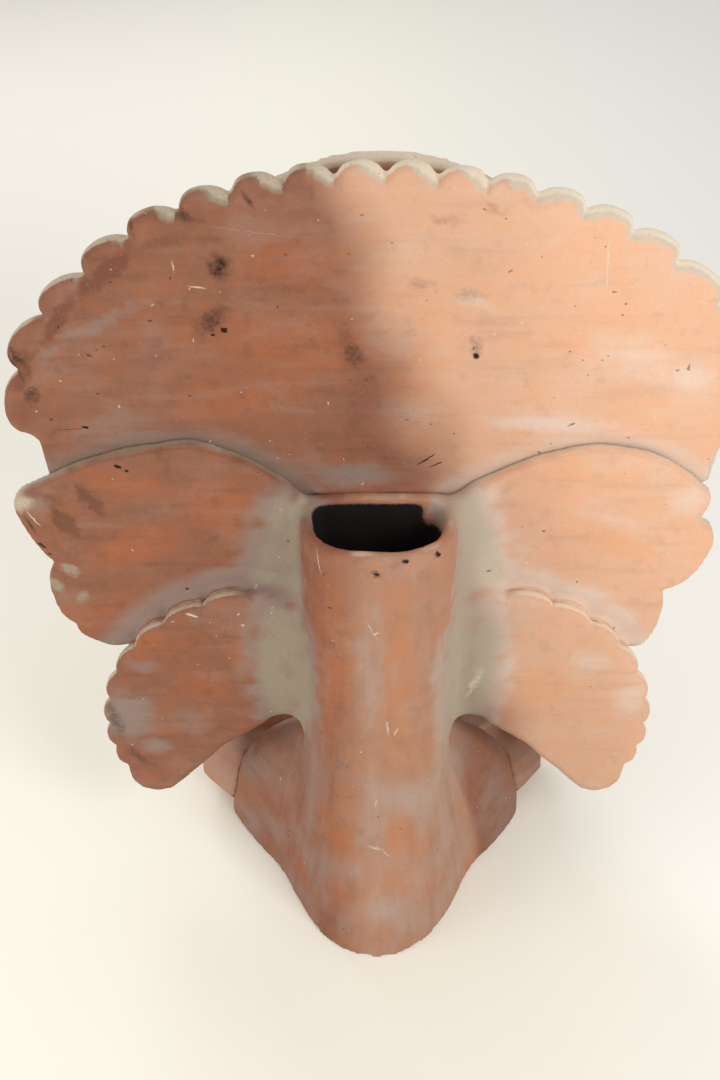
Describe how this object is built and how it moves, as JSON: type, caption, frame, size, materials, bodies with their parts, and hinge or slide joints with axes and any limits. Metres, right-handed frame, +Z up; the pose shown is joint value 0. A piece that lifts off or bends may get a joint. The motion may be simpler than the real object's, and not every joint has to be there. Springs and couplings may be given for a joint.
{
  "type": "terracotta seated figure",
  "caption": "Hand-built hollow clay figure seated before an open flue, with a scalloped fan headdress, side wings and drooping lower fans.",
  "frame": {"origin": "centre of the overall bounding box in plan, on the ground plane", "axes": "+Z up, -Y the way the figure faces, +X to the figure's left hand; the open flue stands at +Y"},
  "size_m": [0.4375, 0.2215, 0.5161],
  "materials": {
    "terracotta": "matt low-fired orange-brown clay with a thin pale slip haze",
    "luting_slip": "matt grey-green slip smeared into the joints"
  },
  "bodies": {
    "root": {"bead_1": "terracotta", "bead_2": "terracotta", "bead_3": "terracotta", "bead_4": "terracotta", "bead_5": "terracotta", "bead_6": "terracotta", "bead_7": "terracotta", "belt": "terracotta", "belt_boss": "terracotta", "brow_band": "terracotta", "brow_boss": "terracotta", "crest_disc": "terracotta", "crest_panel": "terracotta", "crown_fan": "terracotta", "floor_slab": "terracotta", "flue_tube": "terracotta", "head": "terracotta", "left_arm": "terracotta", "left_ear_spool": "terracotta", "left_eye": "terracotta", "left_fan_smear": "luting_slip", "left_feather_1": "terracotta", "left_feather_2": "terracotta", "left_feather_3": "terracotta", "left_feather_4": "terracotta", "left_feather_5": "terracotta", "left_feather_6": "terracotta", "left_foot": "terracotta", "left_hand": "terracotta", "left_leg": "terracotta", "left_lower_fan": "terracotta", "left_side_boss": "terracotta", "left_wing": "terracotta", "left_wing_smear": "luting_slip", "mouth_smear": "luting_slip", "pendant": "terracotta", "right_arm": "terracotta", "right_ear_spool": "terracotta", "right_eye": "terracotta", "right_fan_smear": "luting_slip", "right_feather_1": "terracotta", "right_feather_2": "terracotta", "right_feather_3": "terracotta", "right_feather_4": "terracotta", "right_feather_5": "terracotta", "right_feather_6": "terracotta", "right_foot": "terracotta", "right_hand": "terracotta", "right_leg": "terracotta", "right_lower_fan": "terracotta", "right_side_boss": "terracotta", "right_wing": "terracotta", "right_wing_smear": "luting_slip", "seat_shell": "terracotta", "torso": "terracotta"}
  },
  "joints": []
}
